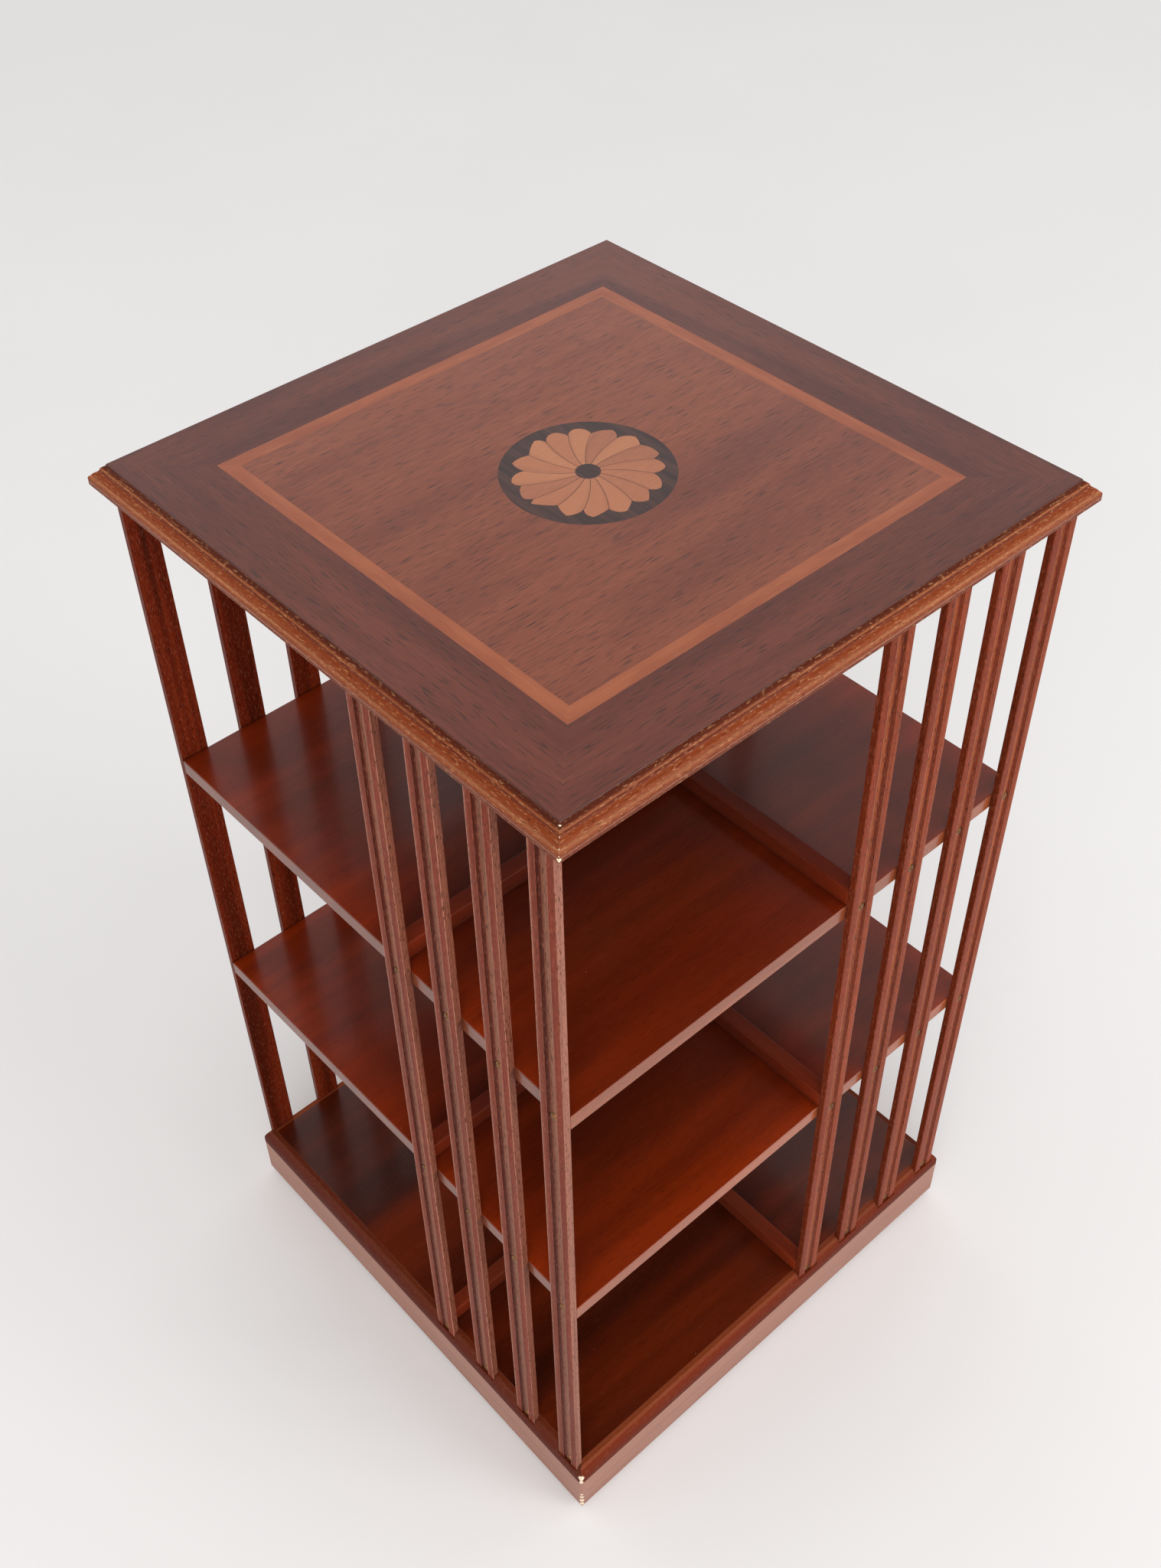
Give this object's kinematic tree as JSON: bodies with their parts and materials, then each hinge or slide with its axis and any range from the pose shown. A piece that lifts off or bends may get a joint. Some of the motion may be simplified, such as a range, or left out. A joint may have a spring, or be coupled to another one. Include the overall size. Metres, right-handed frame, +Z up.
{
  "type": "revolving bookcase",
  "caption": "Square revolving bookcase with open slatted sides, pinwheel book bays, a moulded inlaid top and a plinth on a ball bearing foot.",
  "frame": {"origin": "on the floor, under the middle of the bookcase, on the axis it turns about", "axes": "+Z up along the turning axis; -Y is the front, with its open book bay on the left and its slats on the right; +X is to the right seen from the front"},
  "size_m": [0.481, 0.481, 0.854],
  "materials": {
    "mahogany_field_veneer": "satin lacquered veneer, straight grain",
    "mahogany_border_veneer": "satin lacquered veneer, darker, mitred",
    "satinwood_band": "satin lacquered light stringing band",
    "rosewood_ground": "satin lacquered dark veneer",
    "satinwood_petals": "satin lacquered light veneer",
    "mahogany_moulding": "satin lacquered, stained red-brown",
    "mahogany_slat": "satin lacquered, stained red-brown",
    "mahogany_board": "satin lacquered, stained red-orange",
    "mahogany_stop": "satin lacquered, stained red-orange",
    "mahogany_plinth": "satin lacquered, stained red-brown",
    "core_board": "bare board under veneer",
    "bare_hardwood": "sanded, unfinished",
    "stained_hardwood": "dark stain",
    "brass_screw": "tarnished",
    "steel_screw": "zinc plated",
    "zinc_plated_steel": "pressed and zinc plated",
    "bearing_steel": "polished",
    "plastic_glide": "moulded"
  },
  "bodies": {
    "swivel_foot": {"foot_board": "stained_hardwood", "glides": "plastic_glide", "swivel_lower_plate": "zinc_plated_steel", "swivel_balls": "bearing_steel", "swivel_lower_screws": "steel_screw"},
    "case": {"base_board": "mahogany_board", "board_screws": "steel_screw", "book_stop_base_back": "mahogany_stop", "book_stop_base_front": "mahogany_stop", "book_stop_base_left": "mahogany_stop", "book_stop_base_right": "mahogany_stop", "book_stop_lower_back": "mahogany_stop", "book_stop_lower_front": "mahogany_stop", "book_stop_lower_left": "mahogany_stop", "book_stop_lower_right": "mahogany_stop", "book_stop_upper_back": "mahogany_stop", "book_stop_upper_front": "mahogany_stop", "book_stop_upper_left": "mahogany_stop", "book_stop_upper_right": "mahogany_stop", "border_veneer_back": "mahogany_border_veneer", "border_veneer_front": "mahogany_border_veneer", "border_veneer_left": "mahogany_border_veneer", "border_veneer_right": "mahogany_border_veneer", "field_veneer": "mahogany_field_veneer", "head_board": "mahogany_board", "patera_ground": "rosewood_ground", "patera_petals": "satinwood_petals", "plinth_corner_blocks": "bare_hardwood", "plinth_rail_back": "mahogany_plinth", "plinth_rail_front": "mahogany_plinth", "plinth_rail_left": "mahogany_plinth", "plinth_rail_right": "mahogany_plinth", "shelf_lower": "mahogany_board", "shelf_upper": "mahogany_board", "slat_back_1": "mahogany_slat", "slat_back_2": "mahogany_slat", "slat_back_3": "mahogany_slat", "slat_back_4": "mahogany_slat", "slat_front_1": "mahogany_slat", "slat_front_2": "mahogany_slat", "slat_front_3": "mahogany_slat", "slat_front_4": "mahogany_slat", "slat_left_1": "mahogany_slat", "slat_left_2": "mahogany_slat", "slat_left_3": "mahogany_slat", "slat_left_4": "mahogany_slat", "slat_right_1": "mahogany_slat", "slat_right_2": "mahogany_slat", "slat_right_3": "mahogany_slat", "slat_right_4": "mahogany_slat", "slat_screws": "brass_screw", "stringing_band": "satinwood_band", "swivel_block": "bare_hardwood", "swivel_upper_plate": "zinc_plated_steel", "swivel_upper_screws": "steel_screw", "top_core": "core_board", "top_moulding_back": "mahogany_moulding", "top_moulding_front": "mahogany_moulding", "top_moulding_left": "mahogany_moulding", "top_moulding_right": "mahogany_moulding"}
  },
  "joints": [
    {"name": "revolve", "type": "hinge", "parent": "swivel_foot", "child": "case", "pos_m": [0, 0, 0.031], "axis": [0, 0, 1], "continuous": true}
  ]
}
